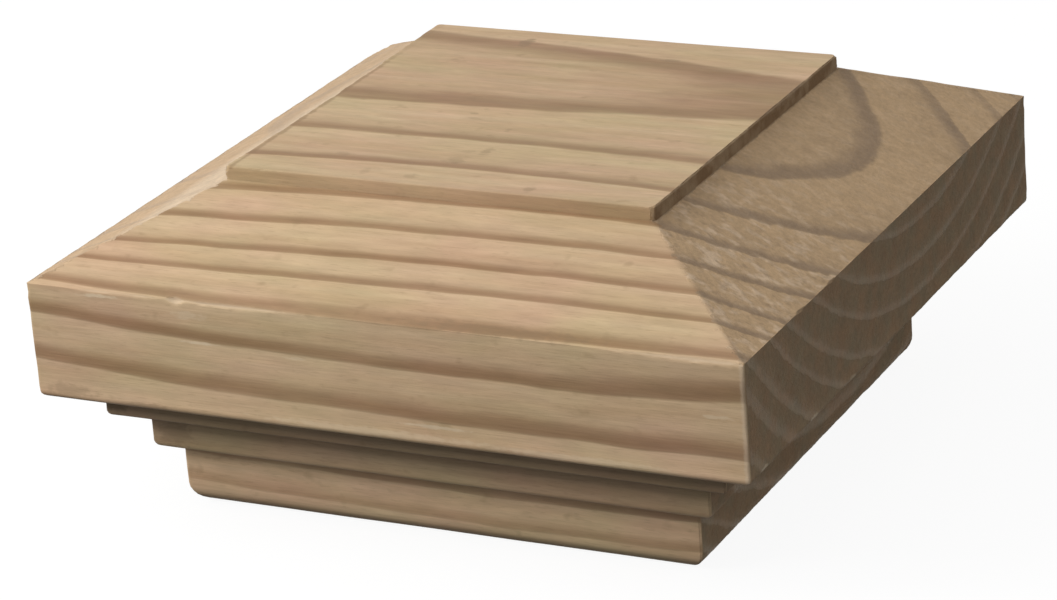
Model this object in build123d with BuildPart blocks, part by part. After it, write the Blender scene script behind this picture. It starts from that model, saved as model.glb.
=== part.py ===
"""Square wooden post cap: a bevelled slab with a raised flat top, over a stepped base.

The cap is one block of softwood with its grain along X. Its base has a square
socket that drops over the head of a post.

The origin is the centre of the rim that the cap stands on, +Z is up, in millimetres.
"""

import os

from build123d import *

# Post and socket
post_width = 89.0
post_clearance = 1.25
socket_depth = 20.0
socket_corner_radius = 3.0

# Stepped base, each step standing out past the one below it
base_wall = 6.3
base_height = 12.6
base_lower_round = 4.2
middle_step_out = 4.0
middle_step_height = 8.0
middle_lower_round = 1.4
upper_step_out = 5.7
upper_step_height = 6.2
upper_lower_round = 1.0

# Slab with the bevels and the raised flat on top
slab_overhang = 8.25
slab_side_height = 22.3
slab_lower_round = 1.2
bevel_run = 27.25
bevel_rise = 12.6
plateau_height = 2.6
plateau_edge_round = 0.4

# Sizes that follow from the ones above
socket_width = post_width + 2 * post_clearance
base_width = socket_width + 2 * base_wall
middle_width = base_width + 2 * middle_step_out
upper_width = middle_width + 2 * upper_step_out
slab_width = upper_width + 2 * slab_overhang
plateau_width = slab_width - 2 * bevel_run

middle_level = base_height
upper_level = middle_level + middle_step_height
slab_level = upper_level + upper_step_height
bevel_level = slab_level + slab_side_height
plateau_level = bevel_level + bevel_rise


def lower_rim(block, level, width):
    """The outer edges, one on each side, under a square step that starts at a level."""
    at_level = block.edges().filter_by_position(Axis.Z, level, level)
    near_side = width / 2 - 0.001
    sides_x = at_level.filter_by(lambda edge: abs(edge.center().X) > near_side)
    sides_y = at_level.filter_by(lambda edge: abs(edge.center().Y) > near_side)
    return sides_x + sides_y


with BuildPart() as post_cap:
    # Steps of the base and the straight sides of the slab, from the rim up
    with BuildSketch(Plane.XY):
        Rectangle(base_width, base_width)
    extrude(amount=base_height)

    with BuildSketch(Plane.XY.offset(middle_level)):
        Rectangle(middle_width, middle_width)
    extrude(amount=middle_step_height)

    with BuildSketch(Plane.XY.offset(upper_level)):
        Rectangle(upper_width, upper_width)
    extrude(amount=upper_step_height)

    with BuildSketch(Plane.XY.offset(slab_level)):
        Rectangle(slab_width, slab_width)
    extrude(amount=slab_side_height)

    # Four bevels up to the foot of the raised flat
    with BuildSketch(Plane.XY.offset(bevel_level)):
        Rectangle(slab_width, slab_width)
    with BuildSketch(Plane.XY.offset(plateau_level)):
        Rectangle(plateau_width, plateau_width)
    loft(ruled=True)

    # Raised flat with a short upright edge all round
    with BuildSketch(Plane.XY.offset(plateau_level)):
        Rectangle(plateau_width, plateau_width)
    extrude(amount=plateau_height)
    fillet(post_cap.faces().sort_by(Axis.Z)[-1].edges(), plateau_edge_round)

    # Rounded lower edges of the base, its steps and the slab
    fillet(lower_rim(post_cap, 0, base_width), base_lower_round)
    fillet(lower_rim(post_cap, middle_level, middle_width), middle_lower_round)
    fillet(lower_rim(post_cap, upper_level, upper_width), upper_lower_round)
    fillet(lower_rim(post_cap, slab_level, slab_width), slab_lower_round)

    # Square socket for the head of the post
    with BuildSketch(Plane.XY):
        RectangleRounded(socket_width, socket_width, socket_corner_radius)
    extrude(amount=socket_depth, mode=Mode.SUBTRACT)

post_cap.part.label = "post_cap"

os.makedirs("parts", exist_ok=True)
export_step(post_cap.part, "parts/post_cap.step")

print("slab width", slab_width, "base width", base_width, "height", plateau_level + plateau_height)
print("volume", round(post_cap.part.volume), "valid", post_cap.part.is_valid)
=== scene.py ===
"""Looks of the square wooden post cap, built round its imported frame.

The cap is one block of pale softwood with its grain along X. Its skin is a profile
swept round a square, eased and chipped along its edges. The growth rings are nested
cylinders about a pith line above the cap, so every face shows the same rings.
"""

import math
from types import SimpleNamespace

import bpy
from mathutils import Matrix, Vector


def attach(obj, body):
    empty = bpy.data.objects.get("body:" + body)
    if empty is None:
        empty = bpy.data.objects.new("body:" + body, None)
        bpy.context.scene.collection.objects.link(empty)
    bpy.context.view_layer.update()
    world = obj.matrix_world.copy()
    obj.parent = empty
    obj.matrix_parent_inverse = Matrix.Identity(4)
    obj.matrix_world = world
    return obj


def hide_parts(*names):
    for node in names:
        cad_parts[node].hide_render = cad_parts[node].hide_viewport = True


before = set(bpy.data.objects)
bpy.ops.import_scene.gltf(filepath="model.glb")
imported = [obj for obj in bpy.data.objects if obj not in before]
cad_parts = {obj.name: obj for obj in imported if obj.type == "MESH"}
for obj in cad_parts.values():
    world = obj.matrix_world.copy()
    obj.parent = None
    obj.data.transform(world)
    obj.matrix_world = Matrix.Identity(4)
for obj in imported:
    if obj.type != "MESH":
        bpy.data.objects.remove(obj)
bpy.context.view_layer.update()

MM = 0.001

# Sizes of the cap in millimetres, as half widths and levels above the rim
socket_half = 45.75
base_half = 52.05
middle_half = 56.05
upper_half = 61.75
slab_half = 70.0
plateau_half = 42.75
socket_level = 20.0
middle_level = 12.6
upper_level = 20.6
slab_level = 26.8
bevel_level = 49.1
plateau_level = 61.7
top_level = 64.3

# Rounded edges in millimetres
base_round = 4.2
middle_round = 1.4
upper_round = 1.0
slab_round = 1.2
plateau_round = 0.4
socket_corner = 3.0
upright_corner = 0.45

# Spacing of the skin's rows beside an edge, in millimetres from the edge
close_rows = (0.15, 0.35, 0.65, 1.1, 1.8, 2.9)
few_rows = (0.4, 1.2)

# Columns of the skin on each side, those round a corner, and the close ones as shares of the half width
columns_each_side = 212
arc_columns = 3
close_columns = (0.0035, 0.008, 0.014, 0.021)

# Pith line of the growth rings: its place at X = 0 and its sideways drift for each millimetre of X
pith_y = 16.8
pith_z = 122.2
pith_drift = -0.037

# Growth rings from the pith out: outer radius at X = 0, width of the latewood, and how far the ring
# leans out towards +X and bows out towards both ends, both at lean_reach from the middle
growth = (
    (52.0, 2.0, -1.8, 0.0),
    (60.6, 2.0, -1.6, -0.6),
    (68.1, 1.9, -1.0, 1.4),
    (76.8, 2.2, -1.8, 2.3),
    (85.8, 2.5, -2.6, 1.6),
    (92.9, 2.2, -2.8, 1.1),
    (99.7, 1.9, -2.8, 1.5),
    (105.4, 2.1, -2.6, 0.8),
    (113.8, 3.5, -1.8, -1.3),
    (119.1, 2.2, -0.7, -0.6),
    (125.6, 2.7, -0.7, -0.9),
    (131.8, 1.8, -0.7, -0.8),
    (136.6, 2.0, -0.7, -0.6),
    (143.5, 2.0, -0.7, -0.4),
    (151.0, 2.0, -0.7, -0.4),
    (160.0, 2.0, -0.7, -0.4),
)
ring_radii, latewood_widths, ring_leans, ring_bows = zip(*growth)
ring_span = (45.0, 165.0)
lean_reach = 60.0
# Share of a ring's growth where its latewood starts, and how far the rings wander
latewood_start = 0.6
slow_wander = 1.0
quick_wander = 0.8

# How dark the wood is from the start of a ring's growth to its end, and the same where it is cut
# across the grain far from the pith
darkening = (
    (0.0, 0.0), (0.35, 0.03), (0.6, 0.26), (0.7, 0.68),
    (0.8, 0.97), (0.9, 1.0), (0.96, 0.8), (1.0, 0.0),
)
broad_darkening = (
    (0.0, 0.0), (0.5, 0.05), (0.64, 0.22), (0.76, 0.78),
    (0.84, 1.0), (0.94, 1.0), (0.985, 0.7), (1.0, 0.0),
)
# Radius where the broad kind sets in and where it is full
broad_from = 71.0
broad_full = 86.0

# Patterns of the fibres: size along each axis in millimetres, seed, detail and roughness
fibre_patterns = {
    "Streaks": (9.0, 0.34, 0.34, 2.0, 3.0, 0.6),
    "Broad": (38.0, 2.6, 2.6, 5.0, 2.0, 0.5),
    "Flecks": (2.6, 0.22, 0.22, 9.0, 1.0, 0.5),
    "Fuzz": (1.1, 0.9, 0.9, 12.0, 4.0, 0.7),
    "Tufts": (4.0, 2.0, 2.0, 15.0, 2.0, 0.5),
    "Blotches": (4.5, 3.0, 3.0, 21.0, 2.0, 0.5),
    "Tint": (24.0, 10.0, 10.0, 27.0, 2.0, 0.5),
    "Stain": (7.0, 5.0, 5.0, 61.0, 2.0, 0.5),
    "Mottle": (8.0, 1.8, 1.8, 41.0, 2.0, 0.6),
    "Ragged": (2.6, 1.4, 1.4, 47.0, 3.0, 0.65),
}
# Patterns that show in spots only: the noise where a spot starts and where it is full
fibre_spots = {
    "Flecks": (0.60, 0.72),
    "Tufts": (0.48, 0.66),
}

# Chips along the arrises: x, y, z, the reach along each axis and the depth
chips = (
    (-55.5, -70.0, 49.1, 6.0, 2.0, 2.0, 0.25),
    (-46.0, -70.0, 49.1, 6.0, 2.0, 2.0, 0.12),
    (-39.0, -70.0, 49.1, 2.6, 2.0, 2.0, 0.60),
    (-27.0, -70.0, 49.1, 14.0, 2.0, 2.0, 0.25),
    (60.0, -70.0, 49.1, 19.0, 2.0, 2.0, 0.25),
    (-70.0, 70.0, 49.1, 7.0, 9.0, 5.5, 2.60),
    (-42.75, -4.0, 64.3, 2.0, 52.0, 2.0, 0.75),
    (70.0, -45.0, 49.1, 2.0, 3.0, 2.0, 0.20),
    (70.0, -31.0, 49.1, 2.0, 3.0, 2.0, 0.20),
)

# How much of the even wear the arrises show along the grain, as pairs of x and share
wear_along = (
    (-72.0, 0.1), (-60.0, 0.3), (-36.0, 0.8), (-14.0, 0.3),
    (-4.0, 0.0), (38.0, 0.0), (46.0, 0.6), (72.0, 1.0),
)
# How much of that is left on the arrises of the right-hand end
wear_right_end = 0.2

# Worn arrises on the section: place, outward direction and how far from the arris the wear may reach
bevel_tilt = math.atan2(plateau_level - bevel_level, slab_half - plateau_half)
slab_arris = (slab_half, bevel_level, math.pi / 4 - bevel_tilt / 2, 5.2)
plateau_arris = (plateau_half, top_level, math.pi / 4, 3.2)

# Painted shade and light on the stepped base: darker under the slab and at the steps' lower edges,
# lighter low down and above the slab's lower edge, as pairs of level above the rim and brightness
lower_painted_light = (
    (0.0, 0.38), (1.5, 0.45), (2.1, 0.8), (2.6, 1.08), (3.2, 1.14),
    (5.5, 1.2), (7.5, 1.18), (9.3, 1.0), (10.3, 0.76), (12.55, 0.7),
)
middle_painted_light = (
    (12.6, 0.4), (12.85, 0.46), (13.15, 0.75), (13.7, 0.92),
    (14.4, 0.84), (16.2, 0.62), (17.1, 0.41), (20.5, 0.37),
)
upper_painted_light = (
    (20.6, 0.25), (20.85, 0.3), (21.2, 0.53), (21.8, 0.47),
    (22.5, 0.31), (26.7, 0.3), (27.1, 0.5), (27.6, 0.95),
)
# A painted highlight just above the slab's lower edge
slab_painted_light = ((28.1, 1.10), (29.2, 1.08), (30.6, 1.0), (32.0, 1.0))
painted_base_light = lower_painted_light + middle_painted_light + upper_painted_light + slab_painted_light
painted_light_levels = (0.0, 32.0)
# Painted brightness of the base on its right-hand end, and how far it takes over from the painted shade
# there
right_end_painted_light = 1.1
right_end_painted_share = 0.65

# How clearly the latewood shows on the base, as pairs of level and share
base_bands = ((0.0, 0.65), (12.4, 0.65), (12.8, 0.3), (26.6, 0.3), (27.4, 1.0), (28.0, 1.0))
banded_levels = (0.0, 28.0)

# Pale slivers and dark flecks seen on the block, with a painted highlight along the slab's lower front
# and a painted shade above the front arris: x, y, z, half length along each axis and strength
pale_marks = (
    (-35.0, -70.0, 41.3, 4.0, 2.0, 0.40, 0.6),
    (-15.0, -70.0, 40.5, 3.0, 2.0, 0.35, 0.3),
    (11.5, -70.0, 30.7, 8.0, 2.0, 0.45, 0.5),
    (64.5, -70.0, 39.0, 3.5, 2.0, 0.5, 0.4),
    (-55.0, -70.0, 48.1, 5.0, 1.0, 0.45, 0.6),
    (-36.5, -70.0, 46.4, 4.5, 2.0, 1.0, 0.30),
    # A painted highlight along the lower front of the slab, where its lower edge rounds off
    (0.0, -70.0, 28.4, 30.0, 2.0, 0.9, 0.28),
    (38.0, -70.0, 28.2, 24.0, 2.0, 0.8, 0.28),
    (70.0, -63.5, 27.6, 1.5, 2.0, 0.9, 0.35),
    (70.0, -41.0, 27.6, 1.5, 2.6, 0.9, 0.35),
    (70.0, -23.0, 27.6, 1.5, 2.0, 0.9, 0.30),
)
dark_marks = (
    # Partly a latewood band and partly painted shade: a darker strip above the rounded front arris
    (24.0, -69.0, 50.0, 24.0, 1.8, 1.5, 0.40),
    (-63.0, -70.0, 29.0, 7.0, 2.0, 1.6, 0.32),
    (-47.0, -70.0, 27.6, 6.0, 2.0, 1.0, 0.35),
    (70.0, -66.0, 30.5, 1.0, 2.5, 2.6, 0.40),
    (-60.0, -61.75, 23.5, 4.0, 2.0, 3.0, 0.60),
    (-51.0, -56.05, 16.5, 5.0, 2.0, 4.0, 0.35),
    (-19.5, 35.6, 64.3, 1.7, 3.0, 1.0, 0.55),
    (13.0, 31.7, 64.3, 2.6, 1.2, 1.0, 0.35),
    (-10.7, -5.2, 64.3, 1.3, 1.0, 1.0, 0.35),
    (1.2, -23.4, 64.3, 1.5, 2.6, 1.0, 0.35),
    (-2.0, -24.6, 64.3, 2.2, 1.0, 1.0, 0.20),
    (0.0, -12.4, 64.3, 1.0, 1.3, 1.0, 0.25),
    (-24.0, -31.2, 64.3, 2.0, 1.5, 1.0, 0.30),
    (-2.5, -29.5, 64.3, 2.5, 2.0, 1.0, 0.30),
    (17.6, -39.7, 64.3, 1.6, 1.6, 1.0, 0.35),
    (-6.5, -39.0, 64.3, 1.8, 1.6, 1.0, 0.25),
    (-16.0, -38.5, 64.3, 1.2, 2.0, 1.0, 0.20),
)

# Wood along the grain: earlywood and latewood, each between two tones, and what lies over them
dull_earlywood = (0.605, 0.430, 0.270, 1)
bright_earlywood = (0.680, 0.505, 0.332, 1)
deep_latewood = (0.335, 0.205, 0.112, 1)
soft_latewood = (0.395, 0.255, 0.150, 1)
darkest_latewood = (0.22, 0.13, 0.08, 1)
fleck_brown = (0.24, 0.15, 0.08, 1)
speck_brown = (0.30, 0.20, 0.11, 1)
rosy_tint = (1.04, 0.975, 0.985, 1)
green_tint = (0.975, 1.015, 0.93, 1)
rubbed_corner = (0.68, 0.57, 0.44, 1)

# Wood cut across the grain: bevels with torn fibres, and sawn ends
torn_earlywood = (0.57, 0.393, 0.228, 1)
torn_latewood = (0.330, 0.226, 0.137, 1)
clean_bevel = (0.63, 0.455, 0.30, 1)
tuft_pale = (0.78, 0.60, 0.43, 1)
# Painted shade of hollows among the torn tufts
hollow_shade_brown = (0.36, 0.245, 0.15, 1)
inner_bevel = (0.75, 0.595, 0.43, 1)
sawn_earlywood = (0.235, 0.163, 0.094, 1)
sawn_latewood = (0.300, 0.215, 0.135, 1)
warm_stain = (1.06, 0.98, 0.94, 1)
cool_stain = (0.955, 1.01, 1.03, 1)
dark_riser = (0.205, 0.125, 0.062, 1)
light_riser = (0.310, 0.215, 0.125, 1)

# Marks and wear, with a painted highlight and a painted shade among the marks
sliver_and_highlight_pale = (0.80, 0.66, 0.47, 1)
fleck_and_shade_brown = (0.27, 0.19, 0.11, 1)
rubbed_pale = (0.74, 0.58, 0.41, 1)
thin_line_brown = (0.30, 0.19, 0.10, 1)

# Level that parts the bevels from the upright sides, a little under the arris
sides_end = bevel_level - 0.2

# Relief of the grain in the shading, in millimetres
ring_relief = 0.05
streak_relief = 0.05
fuzz_relief = 0.16
tuft_relief = 0.1

# Faces that meet at more than this many degrees keep a sharp edge between them
sharp_angle = 24.0
# Points nearer than this, in millimetres, are joined where the skin closes
join_distance = 0.002

# The photograph's view: turn, height and tilt in degrees, distance and sideways moves in metres
view_turn = 27.42
view_height = 21.44
view_tilt = -4.49
view_distance = 0.7367
view_right = -0.0029
view_up = -0.0208
view_aim = 0.0485
view_lens = 134.4

# Light in the studio: the key lamp in metres and watts, and the strength of the surroundings
key_place = (-0.50, -0.40, 0.44)
key_aim = (0, 0, 0.04)
key_size = 0.50
key_power = 3.9
key_colour = (1.0, 0.985, 0.96)
surroundings = 0.50

# Floor: half its width in metres, its colour for the light and for the camera, and its glow there
floor_half = 6.0
floor_grey = (0.14, 0.14, 0.14, 1)
floor_seen_grey = (0.12, 0.12, 0.12, 1)
floor_glow = 0.92


def run(points, end, after, before, middle, corner):
    """Adds a straight stretch of the profile, from its last point to an end."""
    r0, z0 = points[-1][:2]
    length = math.hypot(end[0] - r0, end[1] - z0)
    first = max(after, default=0.0)
    last = length - max(before, default=0.0)
    stops = list(after)
    stops += [first + (last - first) * i / (middle + 1) for i in range(1, middle + 1)]
    stops += [length - stop for stop in sorted(before, reverse=True)]
    stops.append(length)
    for stop in stops:
        share = stop / length
        points.append((r0 + (end[0] - r0) * share, z0 + (end[1] - z0) * share, corner))


def bend(points, centre, radius, start, end, steps, corner):
    """Adds a round stretch of the profile, its angles in degrees from the outward direction."""
    for i in range(1, steps + 1):
        angle = math.radians(start + (end - start) * i / steps)
        r = centre[0] + radius * math.cos(angle)
        z = centre[1] + radius * math.sin(angle)
        points.append((r, z, corner))


def step_under(points, half, level, radius, steps, corner):
    """Rounds the lower edge of a step."""
    bend(points, (half - radius, level + radius), radius, 0, -90, steps, corner)


def cap_profile():
    """Half section of the cap, from the middle of its top down its outside and up into its socket."""
    edge = upright_corner
    inner = plateau_half - plateau_round
    points = [(0.0, top_level, 0.0)]
    run(points, (inner, top_level), (), close_rows, 6, edge)
    bend(points, (inner, top_level - plateau_round), plateau_round, 90, 0, 3, edge)
    run(points, (plateau_half, plateau_level), (0.3, 0.7), (0.15, 0.4, 0.8), 0, edge)
    run(points, (slab_half, bevel_level), close_rows, close_rows, 7, edge)
    run(points, (slab_half, slab_level + slab_round), close_rows, (0.4, 1.0, 1.9), 5, edge)
    step_under(points, slab_half, slab_level, slab_round, 4, edge)
    run(points, (upper_half, slab_level), (0.5,), few_rows, 1, edge)
    run(points, (upper_half, upper_level + upper_round), (0.4,), (0.5,), 2, edge)
    step_under(points, upper_half, upper_level, upper_round, 3, edge)
    run(points, (middle_half, upper_level), (), (0.5,), 1, edge)
    run(points, (middle_half, middle_level + middle_round), (0.4,), (0.5,), 3, edge)
    step_under(points, middle_half, middle_level, middle_round, 4, edge)
    run(points, (base_half, middle_level), (), (0.5,), 1, edge)
    run(points, (base_half, base_round), few_rows, (0.8,), 2, edge)
    step_under(points, base_half, 0.0, base_round, 7, edge)
    run(points, (socket_half, 0.0), (), (0.3,), 0, socket_corner)
    run(points, (socket_half, socket_level), (0.3,), (0.4,), 1, socket_corner)
    run(points, (0.0, socket_level), (0.5,), (), 2, socket_corner)
    return points


def cap_plan():
    """Columns of the skin round a square of half width 1, each with the way it faces."""
    straight = columns_each_side - arc_columns
    evenly = straight - 2 * len(close_columns)
    low = -1 + max(close_columns)
    spots = [-1.0] + [-1 + share for share in close_columns[:-1]]
    spots += [low + (-2 * low) * i / (evenly - 1) for i in range(evenly)]
    spots += [1 - share for share in reversed(close_columns[:-1])] + [1.0]
    columns = []
    for side in range(4):
        turn = math.radians(90 * side)
        ahead, aside = math.cos(turn), math.sin(turn)
        for spot in spots:
            columns.append((ahead - spot * aside, aside + spot * ahead, turn))
        for i in range(1, arc_columns + 1):
            part = turn + math.radians(90) * i / (arc_columns + 1)
            columns.append((ahead - aside, aside + ahead, part))
    return columns


def line_object(name, places):
    """An object of loose points in a line, read by the tree that makes the skin."""
    mesh = bpy.data.meshes.new(name)
    mesh.from_pydata(places, [(i, i + 1) for i in range(len(places) - 1)], [])
    line = bpy.data.objects.new(name, mesh)
    bpy.context.scene.collection.objects.link(line)
    return line


class Nodes:
    """Short calls for adding and linking nodes in one tree."""

    def __init__(self, tree):
        self.tree = tree

    def add(self, kind, **settings):
        """A new node with some of its settings changed."""
        node = self.tree.nodes.new(kind)
        for name, value in settings.items():
            setattr(node, name, value)
        return node

    def feed(self, socket, value):
        """Links an output to a socket, or sets the socket's value."""
        if isinstance(value, bpy.types.NodeSocket):
            self.tree.links.new(value, socket)
        elif value is not None:
            socket.default_value = value

    def math(self, operation, a, b=None, c=None):
        node = self.add("ShaderNodeMath", operation=operation)
        for socket, value in zip(node.inputs, (a, b, c)):
            self.feed(socket, value)
        return node.outputs[0]

    def times(self, first, *others):
        """The product of two or more values."""
        for other in others:
            first = self.math("MULTIPLY", first, other)
        return first

    def above(self, value, limit):
        """1 where a value is above a limit, otherwise 0."""
        return self.math("GREATER_THAN", value, limit)

    def below(self, value, limit):
        """1 where a value is below a limit, otherwise 0."""
        return self.math("LESS_THAN", value, limit)

    def size(self, value):
        """A value without its sign."""
        return self.math("ABSOLUTE", value)

    def between(self, share, a, b):
        """A value that goes from a to b with a share."""
        return self.math("MULTIPLY_ADD", self.math("SUBTRACT", b, a), share, a)

    def vector(self, operation, a, b=None):
        node = self.add("ShaderNodeVectorMath", operation=operation)
        self.feed(node.inputs[0], a)
        self.feed(node.inputs[1], b)
        return node.outputs["Value" if operation == "LENGTH" else "Vector"]

    def combine(self, x, y, z):
        node = self.add("ShaderNodeCombineXYZ")
        for socket, value in zip(node.inputs, (x, y, z)):
            self.feed(socket, value)
        return node.outputs[0]

    def separate(self, vector):
        node = self.add("ShaderNodeSeparateXYZ")
        self.feed(node.inputs[0], vector)
        return node.outputs[:3]

    def distance(self, place, spot, reach):
        """How far a place is from a spot, as a share of the spot's reach along each axis."""
        away = self.vector("SUBTRACT", place, spot)
        return self.vector("LENGTH", self.vector("MULTIPLY", away, tuple(1 / part for part in reach)))

    def noise(self, vector, detail=2.0, roughness=0.5, output=0):
        node = self.add("ShaderNodeTexNoise")
        self.feed(node.inputs["Vector"], vector)
        node.inputs["Scale"].default_value = 1.0
        node.inputs["Detail"].default_value = detail
        node.inputs["Roughness"].default_value = roughness
        return node.outputs[output]

    def stretch(self, vector, x, y, z, shift=0.0):
        """The position in millimetres divided by a pattern's size along each axis."""
        scaled = self.vector("MULTIPLY", vector, (1 / x, 1 / y, 1 / z))
        return self.vector("ADD", scaled, (shift, shift, shift))

    def spread(self, value, low, high, out_low=0.0, out_high=1.0, kind="LINEAR"):
        """A value from low to high, spread over another range and kept inside it."""
        node = self.add("ShaderNodeMapRange", interpolation_type=kind, clamp=True)
        for socket, item in zip(node.inputs, (value, low, high, out_low, out_high)):
            self.feed(socket, item)
        return node.outputs[0]

    def curve(self, value, span, points):
        """A line given as pairs of input and output, over a span of inputs."""
        low, high = span
        floor = min(y for x, y in points)
        ceiling = max(y for x, y in points)
        depth = ceiling - floor
        node = self.add("ShaderNodeFloatCurve")
        line = node.mapping.curves[0]
        pairs = [((x - low) / (high - low), (y - floor) / depth) for x, y in points]
        line.points[0].location = pairs[0]
        line.points[-1].location = pairs[-1]
        for x, y in pairs[1:-1]:
            line.points.new(x, y)
        for point in line.points:
            point.handle_type = "VECTOR"
        node.mapping.update()
        self.feed(node.inputs["Value"], self.spread(value, low, high))
        return self.spread(node.outputs[0], 0.0, 1.0, floor, ceiling)

    def mix(self, share, a, b, blend="MIX"):
        """A colour that goes from a to b with a share."""
        node = self.add("ShaderNodeMix", data_type="RGBA", blend_type=blend)
        self.feed(node.inputs[0], share)
        self.feed(node.inputs[6], a)
        self.feed(node.inputs[7], b)
        return node.outputs[2]

    def tinted(self, colour, factor):
        """A colour multiplied by another one."""
        return self.mix(1.0, colour, factor, "MULTIPLY")

    def shaded(self, colour, factor):
        """A colour made lighter or darker by a value."""
        return self.tinted(colour, self.combine(factor, factor, factor))


def shader_group(name, outputs, more_inputs=()):
    """An empty shader group that takes a place, the calls that fill it, and its two ends."""
    tree = bpy.data.node_groups.new(name, "ShaderNodeTree")
    tree.interface.new_socket("Place", in_out="INPUT", socket_type="NodeSocketVector")
    for item in more_inputs:
        tree.interface.new_socket(item, in_out="INPUT", socket_type="NodeSocketFloat")
    for item in outputs:
        tree.interface.new_socket(item, in_out="OUTPUT", socket_type="NodeSocketFloat")
    nodes = Nodes(tree)
    given = nodes.add("NodeGroupInput").outputs
    result = nodes.add("NodeGroupOutput").inputs
    return tree, nodes, given, result


def place_group(nodes, tree, place):
    """Puts a shader group into a material at a place in millimetres."""
    node = nodes.add("ShaderNodeGroup", node_tree=tree)
    nodes.feed(node.inputs["Place"], place)
    return node


def ring_points():
    """Radius and ring number where each ring ends and where its latewood starts."""
    points = [(ring_span[0], 0.3)]
    for number, (radius, width) in enumerate(zip(ring_radii, latewood_widths)):
        points.append((radius - width, number + latewood_start))
        points.append((radius, number + 1.0))
    points.append((ring_span[1], len(ring_radii) + 0.5))
    return points


def over_rings(values):
    """Pairs of radius and a ring's value, from none at one end of the span to none at the other."""
    return [(ring_span[0], 0.0), *zip(ring_radii, values), (ring_span[1], 0.0)]


def add_ring_field(nodes, place):
    """Ring number, counted outwards from the pith, and radius at a place in millimetres."""
    x, y, z = nodes.separate(place)
    across = nodes.math("SUBTRACT", y, nodes.math("MULTIPLY_ADD", x, pith_drift, pith_y))
    down = nodes.math("SUBTRACT", z, pith_z)
    squared = nodes.math("MULTIPLY_ADD", across, across, nodes.times(down, down))
    radius = nodes.math("SQRT", squared)
    along = nodes.math("DIVIDE", x, lean_reach)
    lean = nodes.curve(radius, ring_span, over_rings(ring_leans))
    bow = nodes.curve(radius, ring_span, over_rings(ring_bows))
    shifted = nodes.math("MULTIPLY_ADD", lean, along, nodes.times(bow, nodes.times(along, along)))
    slow = nodes.math("SUBTRACT", nodes.noise(nodes.stretch(place, 55, 22, 22, 3.1), 1.0), 0.5)
    quick = nodes.math("SUBTRACT", nodes.noise(nodes.stretch(place, 17, 7, 7, 8.7), 1.0), 0.5)
    wander = nodes.math("MULTIPLY_ADD", slow, slow_wander, nodes.times(quick, quick_wander))
    moved = nodes.math("SUBTRACT", radius, nodes.math("ADD", shifted, wander))
    return nodes.curve(moved, ring_span, ring_points()), radius


def growth_rings():
    """Shader group: how dark the rings are at a place, on planed wood and on torn wood."""
    tree, nodes, given, result = shader_group("growth_rings", ("Latewood", "Band"), ("Fray",))
    place = given["Place"]
    fray = given["Fray"]
    loose = nodes.noise(nodes.stretch(place, 3.4, 2.0, 2.0, 33.0), 2.0, 0.5, "Color")
    loose = nodes.vector("SUBTRACT", loose, (0.5, 0.5, 0.5))
    loose = nodes.vector("MULTIPLY", loose, nodes.combine(fray, fray, fray))
    number, radius = add_ring_field(nodes, nodes.vector("ADD", place, loose))
    share = nodes.math("FRACT", number)
    latewood = nodes.curve(share, (0.0, 1.0), darkening)
    broader = nodes.curve(share, (0.0, 1.0), broad_darkening)
    outer = nodes.spread(radius, broad_from, broad_full)
    nodes.feed(result["Latewood"], latewood)
    nodes.feed(result["Band"], nodes.between(outer, latewood, broader))
    return tree


def wood_fibres():
    """Shader group: fine streaks along the grain and the cut ends of the fibres across it."""
    tree, nodes, given, result = shader_group("wood_fibres", fibre_patterns)
    for name, (x, y, z, seed, detail, roughness) in fibre_patterns.items():
        pattern = nodes.noise(nodes.stretch(given["Place"], x, y, z, seed), detail, roughness)
        if name in fibre_spots:
            pattern = nodes.spread(pattern, *fibre_spots[name])
        nodes.feed(result[name], pattern)
    return tree


def placed_marks(name, marks):
    """Shader group: how strongly some soft marks, longer than they are wide, show at a place."""
    tree, nodes, given, result = shader_group(name, ("Mark",))
    place = given["Place"]
    uneven = nodes.noise(nodes.stretch(place, 2.0, 1.0, 1.0, 51.0), 2.0, 0.6)
    uneven = nodes.spread(uneven, 0.3, 0.7, -0.35, 0.35)
    total = 0.0
    for *spot, along, across, tall, strength in marks:
        away = nodes.math("ADD", nodes.distance(place, spot, (along, across, tall)), uneven)
        shown = nodes.spread(away, 0.35, 1.0, strength, 0.0, kind="SMOOTHSTEP")
        total = nodes.math("MAXIMUM", total, shown)
    nodes.feed(result["Mark"], total)
    return tree


def empty_material(name):
    """A material without nodes, the calls that fill it and its output."""
    material = bpy.data.materials.new(name)
    material.use_nodes = True
    material.node_tree.nodes.clear()
    nodes = Nodes(material.node_tree)
    return material, nodes, nodes.add("ShaderNodeOutputMaterial")


def add_cut_masks(nodes, spot):
    """Finds the sides cut across the grain, the sawn ends among them, and the cleaner left side."""
    on_bevels = nodes.above(spot.level, sides_end)
    under_bevels = nodes.below(spot.level, sides_end)
    ragged = nodes.spread(spot.fibre["Ragged"], 0.3, 0.7, -1.6, 1.6)
    past_hip = nodes.math("SUBTRACT", nodes.size(spot.x), nodes.size(spot.y))
    past_hip = nodes.math("ADD", past_hip, nodes.times(ragged, on_bevels))
    past_hip = nodes.math("SUBTRACT", past_hip, nodes.times(under_bevels, 0.3))
    not_level = nodes.spread(nodes.size(spot.facing_z), 0.95, 0.985, 1.0, 0.0)
    spot.cross_cut = nodes.times(nodes.spread(past_hip, -0.3, 0.3), not_level)
    spot.end_grain = nodes.spread(nodes.size(spot.facing_x), 0.5, 0.9)
    spot.clean_side = nodes.times(spot.cross_cut, nodes.below(spot.x, 0.0))


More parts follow.
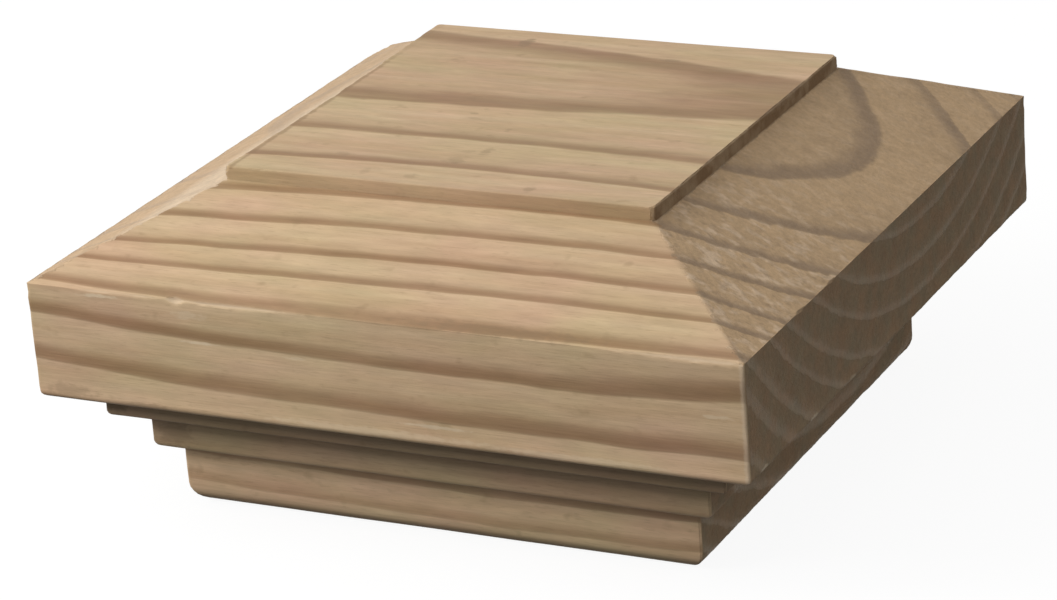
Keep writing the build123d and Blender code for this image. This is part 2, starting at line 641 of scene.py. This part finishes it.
def along_the_grain(nodes, spot):
    """Colour of the front, back and flat: planed wood with its growth rings."""
    fibre = spot.fibre
    broad = nodes.spread(fibre["Broad"], 0.3, 0.7)
    pale = nodes.mix(broad, dull_earlywood, bright_earlywood)
    dark = nodes.mix(broad, deep_latewood, soft_latewood)
    latewood = nodes.times(spot.ring["Latewood"], nodes.curve(spot.level, banded_levels, base_bands))

    # The front edge of the raised flat is brown all along
    at_riser = nodes.spread(spot.level, plateau_level - 0.3, plateau_level + 0.2)
    on_riser = nodes.times(at_riser, nodes.spread(spot.facing_y, -0.5, -0.85))
    riser_spots = nodes.math("MULTIPLY_ADD", fibre["Mottle"], 60.0, spot.x)
    riser_tone = nodes.spread(riser_spots, -20.0, 70.0, 0.46, 0.68)
    latewood = nodes.between(on_riser, latewood, riser_tone)
    colour = nodes.mix(latewood, pale, dark)

    # The bands deepen towards the right of the upright front
    on_front = nodes.spread(spot.facing_y, -0.85, -0.95)
    to_the_right = nodes.spread(spot.x, 0.0, 60.0, 0.0, 0.3)
    deep_band = nodes.times(latewood, on_front, to_the_right, nodes.below(spot.level, 48.0))
    colour = nodes.mix(deep_band, colour, darkest_latewood)

    streak = nodes.spread(fibre["Streaks"], 0.25, 0.75, 0.93, 1.06)
    streak = nodes.times(streak, nodes.spread(fibre["Mottle"], 0.3, 0.7, 0.93, 1.06))
    colour = nodes.shaded(colour, streak)
    colour = nodes.mix(nodes.times(fibre["Flecks"], 0.18), colour, fleck_brown)
    specks = nodes.times(nodes.spread(fibre["Blotches"], 0.66, 0.78), 0.3)
    colour = nodes.mix(specks, colour, speck_brown)
    tint = nodes.mix(nodes.spread(fibre["Tint"], 0.3, 0.7), rosy_tint, green_tint)
    colour = nodes.tinted(colour, tint)

    # A pale rubbed strip down the upright front corner
    near_corner = nodes.math("MULTIPLY_ADD", fibre["Fuzz"], 1.2, spot.x)
    near_corner = nodes.spread(near_corner, slab_half - 0.5, slab_half - 0.1)
    corner_wear = nodes.times(near_corner, nodes.spread(spot.facing_y, -0.2, -0.6))
    return nodes.mix(nodes.times(corner_wear, 0.32), colour, rubbed_corner)


def torn_bevel(nodes, spot):
    """Colour of the bevels cut across the grain, and how far their torn fibres stand up."""
    fibre = spot.fibre
    band = nodes.times(
        spot.ring["Band"],
        nodes.spread(spot.clean_side, 0.0, 1.0, 1.0, 0.75),
        nodes.spread(spot.y, 44.0, 60.0, 1.0, 0.55))
    torn = nodes.mix(band, torn_earlywood, torn_latewood)
    torn = nodes.mix(nodes.times(spot.clean_side, 0.5), torn, clean_bevel)

    # Pale tufts, and dark spots painted as the shade of hollows beside them, most of them near the front
    # of the right-hand bevel
    torn_part = nodes.times(
        nodes.spread(spot.y, -32.0, 0.0, 1.0, 0.2),
        nodes.spread(spot.end_grain, 0.0, 1.0, 1.0, 0.2),
        nodes.above(spot.x, 0.0))
    raised = nodes.times(fibre["Tufts"], torn_part, nodes.spread(band, 0.2, 0.9, 0.55, 0.12))
    torn = nodes.mix(raised, torn, tuft_pale)
    painted_hollow_shade = nodes.times(nodes.spread(fibre["Ragged"], 0.5, 0.32, 0.0, 0.5), torn_part)
    torn = nodes.mix(painted_hollow_shade, torn, hollow_shade_brown)

    # Paler wood on the inner part of the left-hand bevel, less towards the back
    inner_part = nodes.times(
        nodes.below(spot.x, 0.0),
        nodes.spread(spot.x, -60.0, -54.0),
        nodes.spread(band, 0.0, 0.75, 0.75, 0.5),
        nodes.spread(spot.y, 12.0, 34.0, 1.0, 0.3))
    return nodes.mix(inner_part, torn, inner_bevel), raised


def sawn_end(nodes, spot):
    """Colour of the sawn ends with their faint arcs, and of the raised flat's right-hand edge."""
    fibre = spot.fibre
    arcs = nodes.times(
        nodes.spread(spot.ring["Latewood"], 0.6, 1.0),
        nodes.spread(spot.y, 10.0, 45.0, 0.4, 0.09))
    sawn = nodes.mix(arcs, sawn_earlywood, sawn_latewood)
    stain = nodes.mix(nodes.spread(fibre["Stain"], 0.35, 0.65), warm_stain, cool_stain)
    sawn = nodes.tinted(sawn, stain)
    riser = nodes.times(nodes.above(spot.level, plateau_level), nodes.above(spot.x, 0.0))
    riser_colour = nodes.mix(nodes.spread(fibre["Stain"], 0.4, 0.62), dark_riser, light_riser)
    return nodes.mix(riser, sawn, riser_colour), riser, riser_colour


def paint_base_light_and_shade(nodes, spot, colour):
    """Painted shade and light on the steps of the base and the slab's lower front, darker under the slab
    and along the steps' lower edges.
    """
    shade = nodes.curve(spot.level, painted_light_levels, painted_base_light)
    at_right = nodes.times(
        nodes.spread(spot.facing_x, 0.85, 0.98, 0.0, right_end_painted_share),
        nodes.below(spot.level, slab_level))
    return nodes.shaded(colour, nodes.between(at_right, shade, right_end_painted_light))


def rubbed_arrises(nodes, spot, colour):
    """Paler wood where an arris is worn, less on the right-hand end and at the back of the left side."""
    worn = nodes.add("ShaderNodeAttribute", attribute_name="worn")
    rubbed = nodes.spread(worn.outputs["Fac"], 0.05, 0.35, 0.0, 0.55)
    back_left = nodes.times(nodes.below(spot.x, -40.0), nodes.spread(spot.y, 12.0, 30.0, 0.0, 0.75))
    rubbed = nodes.times(
        rubbed,
        nodes.spread(spot.x, 68.0, 69.5, 1.0, 0.2),
        nodes.math("SUBTRACT", 1.0, back_left))
    return nodes.mix(rubbed, colour, rubbed_pale)


def dark_line(nodes, spot, colour):
    """A thin dark line on the raised flat, beside its left arris."""
    away = nodes.size(nodes.math("ADD", spot.x, plateau_half - 1.4))
    away = nodes.math("ADD", away, nodes.spread(spot.fibre["Mottle"], 0.3, 0.7, -0.3, 0.3))
    shown = nodes.times(
        nodes.spread(away, 0.2, 0.7, 0.5, 0.0),
        nodes.above(spot.level, top_level - 0.5),
        nodes.spread(spot.y, 14.0, 28.0, 1.0, 0.2))
    return nodes.mix(shown, colour, thin_line_brown)


def planed_softwood(rings, fibres, slivers_and_highlight, flecks_and_shade):
    """Bare planed pine: pale earlywood, brown latewood, dull cross-cut ends and paler worn edges, with
    painted shade and light on the stepped base.
    """
    material, nodes, output = empty_material("planed softwood")
    wood = nodes.add("ShaderNodeBsdfPrincipled")
    nodes.feed(output.inputs[0], wood.outputs[0])
    where = nodes.add("ShaderNodeTexCoord").outputs
    place = nodes.vector("MULTIPLY", where["Object"], (1 / MM, 1 / MM, 1 / MM))

    # What is known of the spot that is coloured: its place, the way it faces, its fibres and rings
    spot = SimpleNamespace()
    spot.x, spot.y, spot.level = nodes.separate(place)
    spot.facing_x, spot.facing_y, spot.facing_z = nodes.separate(where["Normal"])
    spot.fibre = place_group(nodes, fibres, place).outputs
    add_cut_masks(nodes, spot)
    ring_node = place_group(nodes, rings, place)
    fray = nodes.times(spot.cross_cut, nodes.spread(spot.y, -30.0, 5.0, 1.3, 0.4))
    nodes.feed(ring_node.inputs["Fray"], fray)
    spot.ring = ring_node.outputs

    colour = along_the_grain(nodes, spot)
    torn, raised = torn_bevel(nodes, spot)
    sawn, riser, riser_colour = sawn_end(nodes, spot)
    ends = nodes.mix(spot.end_grain, torn, sawn)
    speck = nodes.spread(spot.fibre["Fuzz"], 0.3, 0.7, 0.88, 1.12)
    speck = nodes.times(speck, nodes.spread(spot.fibre["Blotches"], 0.3, 0.7, 0.93, 1.07))
    colour = nodes.mix(spot.cross_cut, colour, nodes.shaded(ends, speck))
    # Pale slivers, with a painted highlight along the slab's lower front
    colour = nodes.mix(place_group(nodes, slivers_and_highlight, place).outputs["Mark"], colour, sliver_and_highlight_pale)
    # Dark flecks, with a painted shade above the front arris
    colour = nodes.mix(place_group(nodes, flecks_and_shade, place).outputs["Mark"], colour, fleck_and_shade_brown)
    riser_edge = nodes.times(riser, nodes.above(spot.x, plateau_half - 0.3), 0.8)
    colour = nodes.mix(riser_edge, colour, riser_colour)
    # Painted shade and light on the stepped base and the slab's lower front
    colour = paint_base_light_and_shade(nodes, spot, colour)
    colour = rubbed_arrises(nodes, spot, colour)
    colour = dark_line(nodes, spot, colour)
    nodes.feed(wood.inputs["Base Color"], colour)
    nodes.feed(wood.inputs["Roughness"], nodes.spread(spot.ring["Latewood"], 0.0, 1.0, 0.74, 0.6))
    wood.inputs["Specular IOR Level"].default_value = 0.2

    relief = nodes.times(spot.ring["Latewood"], ring_relief)
    relief = nodes.math("MULTIPLY_ADD", spot.fibre["Streaks"], streak_relief, relief)
    rough = nodes.times(raised, tuft_relief)
    rough = nodes.math("MULTIPLY_ADD", spot.fibre["Fuzz"], fuzz_relief, rough)
    rough = nodes.times(rough, spot.cross_cut)
    bump = nodes.add("ShaderNodeBump")
    bump.inputs["Strength"].default_value = 1.0
    bump.inputs["Distance"].default_value = MM
    nodes.feed(bump.inputs["Height"], nodes.math("ADD", relief, rough))
    nodes.feed(wood.inputs["Normal"], bump.outputs[0])
    return material


def read_line(nodes, line, index):
    """The place of a numbered point of a line object."""
    info = nodes.add("GeometryNodeObjectInfo")
    nodes.feed(info.inputs["Object"], line)
    sample = nodes.add("GeometryNodeSampleIndex", data_type="FLOAT_VECTOR", domain="POINT")
    nodes.feed(sample.inputs["Geometry"], info.outputs["Geometry"])
    nodes.feed(sample.inputs["Value"], nodes.add("GeometryNodeInputPosition").outputs[0])
    nodes.feed(sample.inputs["Index"], index)
    return nodes.separate(sample.outputs[0])


def add_worn_corner(nodes, corner, at_corner, hip_wear, r, z):
    """Radius of an upright corner or hip, uneven from the slab's sides up."""
    ragged = nodes.noise(nodes.stretch(at_corner, 1.6, 1.6, 1.6), 3.0, 0.7)
    ragged = nodes.spread(ragged, 0.35, 0.75, 0.6, 2.6)
    ragged = nodes.times(ragged, nodes.spread(z, bevel_level, bevel_level + 2.0, 1.0, 2.0))
    widened = nodes.times(nodes.times(corner, ragged), hip_wear)
    on_top = nodes.times(nodes.above(z, slab_level + 2.0), nodes.above(r, 1.0))
    return nodes.between(on_top, corner, widened)


def add_wear_depth(nodes, place, seeded, x, facing_x):
    """How deep the arrises are worn and chipped at a place, in millimetres."""
    slow = nodes.noise(nodes.stretch(seeded, 9.0, 9.0, 9.0, 4.0), 1.0)
    quick = nodes.noise(nodes.stretch(seeded, 1.3, 1.3, 1.3, 7.0), 3.0, 0.65)
    slow = nodes.spread(slow, 0.45, 0.8, 0.08, 0.3)
    depth = nodes.math("MULTIPLY_ADD", nodes.spread(quick, 0.5, 0.85), 0.35, slow)
    depth = nodes.times(depth, nodes.curve(x, (-72.0, 72.0), wear_along))
    depth = nodes.times(depth, nodes.spread(facing_x, 0.3, 0.9, 1.0, wear_right_end))
    for *spot, reach_x, reach_y, reach_z, deep in chips:
        away = nodes.distance(place, spot, (reach_x, reach_y, reach_z))
        depth = nodes.math("ADD", depth, nodes.spread(away, 0.0, 1.0, deep, 0.0, kind="SMOOTHSTEP"))
    return depth


def add_worn_arris(nodes, r, z, arris, depth):
    """How deep a cut across an arris goes below the skin, in millimetres, and the way it faces."""
    r0, z0, angle, reach = arris
    out, up = math.cos(angle), math.sin(angle)
    dr = nodes.math("SUBTRACT", r, r0)
    dz = nodes.math("SUBTRACT", z, z0)
    proud = nodes.math("MULTIPLY_ADD", dr, out, nodes.times(dz, up))
    apart = nodes.math("SQRT", nodes.math("MULTIPLY_ADD", dr, dr, nodes.times(dz, dz)))
    cut = nodes.math("MAXIMUM", nodes.math("ADD", proud, depth), 0.0)
    return nodes.times(cut, nodes.below(apart, reach)), out, up


def add_sunk_surface(nodes, given):
    """Offset in metres, always inwards, for the wavy faces and the rough cross-cut bevels."""
    here = nodes.add("GeometryNodeInputPosition").outputs[0]
    normal = nodes.add("GeometryNodeInputNormal").outputs[0]
    here = nodes.vector("MULTIPLY", here, (1 / MM, 1 / MM, 1 / MM))
    height = nodes.separate(here)[2]
    here = nodes.vector("ADD", here, nodes.combine(given["Seed"], 0.0, 0.0))
    facing_x = nodes.size(nodes.separate(normal)[0])
    endwise = nodes.times(nodes.spread(facing_x, 0.2, 0.45), nodes.spread(facing_x, 0.5, 0.9, 1.0, 0.15))
    from_middle = nodes.size(nodes.separate(here)[1])
    endwise = nodes.times(endwise, nodes.spread(from_middle, slab_half - 0.6, slab_half - 1.6))
    torn = nodes.noise(nodes.stretch(here, 2.2, 0.9, 0.9, 1.0), 3.0, 0.7)
    torn = nodes.times(nodes.spread(torn, 0.75, 0.25), endwise, given["End Roughness"])
    soft = nodes.noise(nodes.stretch(here, 30.0, 6.0, 6.0, 2.0), 2.0)
    soft = nodes.times(nodes.spread(soft, 0.7, 0.3), given["Wobble"])
    above_rim = nodes.above(height, 0.4)
    lift = nodes.times(nodes.times(nodes.math("ADD", torn, soft), above_rim), -MM)
    scaled = nodes.add("ShaderNodeVectorMath", operation="SCALE")
    nodes.feed(scaled.inputs[0], normal)
    nodes.feed(scaled.inputs["Scale"], lift)
    return scaled.outputs[0]


def add_smooth_faces(nodes, geometry):
    """Smooth faces that meet in sharp edges."""
    smooth_faces = nodes.add("GeometryNodeSetShadeSmooth", domain="FACE")
    nodes.feed(smooth_faces.inputs["Geometry"], geometry)
    angle = nodes.add("GeometryNodeInputMeshEdgeAngle").outputs[0]
    sharp_edges = nodes.add("GeometryNodeSetShadeSmooth", domain="EDGE")
    nodes.feed(sharp_edges.inputs["Geometry"], smooth_faces.outputs["Geometry"])
    nodes.feed(sharp_edges.inputs["Selection"], nodes.above(angle, math.radians(sharp_angle)))
    sharp_edges.inputs["Shade Smooth"].default_value = False
    return sharp_edges.outputs["Geometry"]


# Inputs of the tree that makes the skin, with their kinds
skin_inputs = {
    "Profile": "Object",
    "Plan": "Object",
    "Rows": "Int",
    "Columns": "Int",
    "Arris Wear": "Float",
    "Hip Wear": "Float",
    "Wobble": "Float",
    "End Roughness": "Float",
    "Seed": "Float",
    "Finish": "Material",
}


def skin_tree():
    """Geometry Nodes: a profile swept round a plan, worn along its arrises."""
    tree = bpy.data.node_groups.new("moulding_round_a_square", "GeometryNodeTree")
    for name, kind in skin_inputs.items():
        tree.interface.new_socket(name, in_out="INPUT", socket_type="NodeSocket" + kind)
    tree.interface.new_socket("Geometry", in_out="OUTPUT", socket_type="NodeSocketGeometry")
    nodes = Nodes(tree)
    given = nodes.add("NodeGroupInput").outputs
    result = nodes.add("NodeGroupOutput").inputs
    seed = nodes.combine(given["Seed"], 0.0, 0.0)

    # A grid with a row for each point of the profile and a column for each point of the plan
    grid = nodes.add("GeometryNodeMeshGrid")
    nodes.feed(grid.inputs["Vertices X"], given["Rows"])
    around = nodes.math("ADD", given["Columns"], 1.0)
    nodes.feed(grid.inputs["Vertices Y"], around)
    index = nodes.add("GeometryNodeInputIndex").outputs[0]
    row = nodes.math("FLOOR", nodes.math("DIVIDE", nodes.math("ADD", index, 0.5), around))
    column = nodes.math("SUBTRACT", index, nodes.times(row, around))
    column = nodes.math("MODULO", column, given["Columns"])
    r, corner, z = read_line(nodes, given["Profile"], row)
    square_x, square_y, turn = read_line(nodes, given["Plan"], column)
    facing_x = nodes.math("COSINE", turn)
    facing_y = nodes.math("SINE", turn)

    # Each point's place round the square, with its upright corners and hips rounded
    corner_x = nodes.times(nodes.math("SIGN", square_x), r)
    corner_y = nodes.times(nodes.math("SIGN", square_y), r)
    at_corner = nodes.vector("ADD", nodes.combine(corner_x, corner_y, z), seed)
    corner = add_worn_corner(nodes, corner, at_corner, given["Hip Wear"], r, z)
    inner = nodes.math("SUBTRACT", r, corner)
    x = nodes.math("MULTIPLY_ADD", inner, square_x, nodes.times(corner, facing_x))
    y = nodes.math("MULTIPLY_ADD", inner, square_y, nodes.times(corner, facing_y))
    place = nodes.combine(x, y, z)

    # Wear along the two arrises, kept as an attribute for the colour
    depth = add_wear_depth(nodes, place, nodes.vector("ADD", place, seed), x, facing_x)
    depth = nodes.times(depth, given["Arris Wear"])
    worn = 0.0
    moved = place
    for arris in (slab_arris, plateau_arris):
        cut, out, up = add_worn_arris(nodes, r, z, arris, depth)
        back_x = nodes.times(nodes.times(cut, facing_x), -out)
        back_y = nodes.times(nodes.times(cut, facing_y), -out)
        moved = nodes.vector("ADD", moved, nodes.combine(back_x, back_y, nodes.times(cut, -up)))
        worn = nodes.math("ADD", worn, cut)
    keep_worn = nodes.add("GeometryNodeStoreNamedAttribute", data_type="FLOAT", domain="POINT")
    nodes.feed(keep_worn.inputs["Geometry"], grid.outputs["Mesh"])
    keep_worn.inputs["Name"].default_value = "worn"
    nodes.feed(keep_worn.inputs["Value"], worn)

    # The points go to their places and the seam is closed, then the faces are roughened
    shape = nodes.add("GeometryNodeSetPosition")
    nodes.feed(shape.inputs["Geometry"], keep_worn.outputs["Geometry"])
    nodes.feed(shape.inputs["Position"], nodes.vector("MULTIPLY", moved, (MM, MM, MM)))
    closed = nodes.add("GeometryNodeMergeByDistance")
    nodes.feed(closed.inputs["Geometry"], shape.outputs["Geometry"])
    closed.inputs["Distance"].default_value = join_distance * MM
    rough = nodes.add("GeometryNodeSetPosition")
    nodes.feed(rough.inputs["Geometry"], closed.outputs["Geometry"])
    nodes.feed(rough.inputs["Offset"], add_sunk_surface(nodes, given))

    real = nodes.add("GeometryNodeRealizeInstances")
    nodes.feed(real.inputs["Geometry"], add_smooth_faces(nodes, rough.outputs["Geometry"]))
    finish = nodes.add("GeometryNodeSetMaterial")
    nodes.feed(finish.inputs["Geometry"], real.outputs["Geometry"])
    nodes.feed(finish.inputs["Material"], given["Finish"])
    nodes.feed(result["Geometry"], finish.outputs["Geometry"])
    return tree


def grown(name, tree, values):
    """The mesh that a tree makes from named values, as a plain object."""
    source = bpy.data.objects.new(name + "_source", bpy.data.meshes.new(name + "_source"))
    bpy.context.scene.collection.objects.link(source)
    modifier = source.modifiers.new("tree", "NODES")
    modifier.node_group = tree
    for item in tree.interface.items_tree:
        if item.in_out == "INPUT" and item.name in values:
            modifier[item.identifier] = values[item.name]
    bpy.context.view_layer.update()
    evaluated = source.evaluated_get(bpy.context.evaluated_depsgraph_get())
    mesh = bpy.data.meshes.new_from_object(evaluated)
    mesh.name = name
    bpy.data.objects.remove(source)
    piece = bpy.data.objects.new(name, mesh)
    bpy.context.scene.collection.objects.link(piece)
    return piece


def wooden_cap(finish):
    """The whole cap as one closed block."""
    rows = [(r, min(corner, 0.99 * r), z) for r, z, corner in cap_profile()]
    profile = line_object("cap_profile", rows)
    plan = line_object("cap_plan", cap_plan())
    values = {
        "Profile": profile,
        "Plan": plan,
        "Rows": len(profile.data.vertices),
        "Columns": len(plan.data.vertices),
        "Arris Wear": 1.0,
        "Hip Wear": 0.7,
        "Wobble": 0.11,
        "End Roughness": 0.25,
        "Seed": 11.0,
        "Finish": finish,
    }
    cap = grown("cap_block", skin_tree(), values)
    bpy.data.objects.remove(profile)
    bpy.data.objects.remove(plan)
    return cap


def seen_directly(nodes):
    """1 for the rays that show the surroundings themselves, 0 for those that light the cap."""
    rays = nodes.add("ShaderNodeLightPath").outputs
    seen = nodes.math("MAXIMUM", rays["Is Camera Ray"], rays["Is Glossy Ray"])
    return nodes.math("MAXIMUM", seen, rays["Is Transmission Ray"])


def floor_finish():
    """Pale floor that shows white to the camera and keeps a soft shadow."""
    material, nodes, output = empty_material("pale studio floor")
    matt = nodes.add("ShaderNodeBsdfDiffuse")
    matt.inputs["Color"].default_value = floor_grey
    shown = nodes.add("ShaderNodeBsdfDiffuse")
    shown.inputs["Color"].default_value = floor_seen_grey
    glow = nodes.add("ShaderNodeEmission")
    glow.inputs["Strength"].default_value = floor_glow
    lit = nodes.add("ShaderNodeAddShader")
    nodes.feed(lit.inputs[0], shown.outputs[0])
    nodes.feed(lit.inputs[1], glow.outputs[0])
    choice = nodes.add("ShaderNodeMixShader")
    nodes.feed(choice.inputs[0], seen_directly(nodes))
    nodes.feed(choice.inputs[1], matt.outputs[0])
    nodes.feed(choice.inputs[2], lit.outputs[0])
    nodes.feed(output.inputs[0], choice.outputs[0])
    return material


def add_floor():
    """A wide square floor at the level of the rim."""
    mesh = bpy.data.meshes.new("floor")
    turns = ((-1, -1), (1, -1), (1, 1), (-1, 1))
    mesh.from_pydata([(floor_half * a, floor_half * b, 0) for a, b in turns], [], [(0, 1, 2, 3)])
    mesh.materials.append(floor_finish())
    floor = bpy.data.objects.new("floor", mesh)
    bpy.context.scene.collection.objects.link(floor)
    return floor


def add_key_lamp():
    """A soft square lamp at the front left, pointed at the cap."""
    data = bpy.data.lights.new("key", "AREA")
    data.shape = "SQUARE"
    data.size = key_size
    data.energy = key_power
    data.color = key_colour
    lamp = bpy.data.objects.new("key", data)
    lamp.location = key_place
    lamp.rotation_euler = (Vector(key_aim) - Vector(key_place)).to_track_quat("-Z", "Y").to_euler()
    bpy.context.scene.collection.objects.link(lamp)


def add_world():
    """Soft white surroundings, plain white where the camera looks past the floor."""
    world = bpy.data.worlds.new("studio")
    world.use_nodes = True
    world.node_tree.nodes.clear()
    nodes = Nodes(world.node_tree)
    output = nodes.add("ShaderNodeOutputWorld")
    sky = nodes.add("ShaderNodeBackground")
    sky.inputs["Color"].default_value = (1, 1, 1, 1)
    nodes.feed(sky.inputs["Strength"], nodes.spread(seen_directly(nodes), 0.0, 1.0, surroundings, 1.0))
    nodes.feed(output.inputs[0], sky.outputs[0])
    bpy.context.scene.world = world


def add_camera():
    """The photograph's camera."""
    turn, height, tilt = (math.radians(angle) for angle in (view_turn, view_height, view_tilt))
    away = math.cos(height)
    back = Vector((math.sin(turn) * away, -math.cos(turn) * away, math.sin(height)))
    level = Vector((math.cos(turn), math.sin(turn), 0))
    upright = back.cross(level)
    right = level * math.cos(tilt) + upright * math.sin(tilt)
    up = upright * math.cos(tilt) - level * math.sin(tilt)
    place = Vector((0, 0, view_aim)) + back * view_distance + right * view_right + up * view_up
    turned = Matrix((right, up, back)).transposed().to_4x4()
    data = bpy.data.cameras.new("camera")
    data.lens = view_lens
    data.sensor_width = 36.0
    data.clip_start = 0.01
    camera = bpy.data.objects.new("camera", data)
    camera.matrix_world = Matrix.Translation(place) @ turned
    bpy.context.scene.collection.objects.link(camera)
    bpy.context.scene.camera = camera


bpy.context.scene.view_settings.view_transform = "Standard"

slivers_and_highlight = placed_marks("pale_slivers_and_highlight", pale_marks)
flecks_and_shade = placed_marks("dark_flecks_and_shade", dark_marks)
softwood = planed_softwood(growth_rings(), wood_fibres(), slivers_and_highlight, flecks_and_shade)
cap = wooden_cap(softwood)
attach(cap, "root")
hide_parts("post_cap")
add_floor()

add_key_lamp()
add_world()
add_camera()
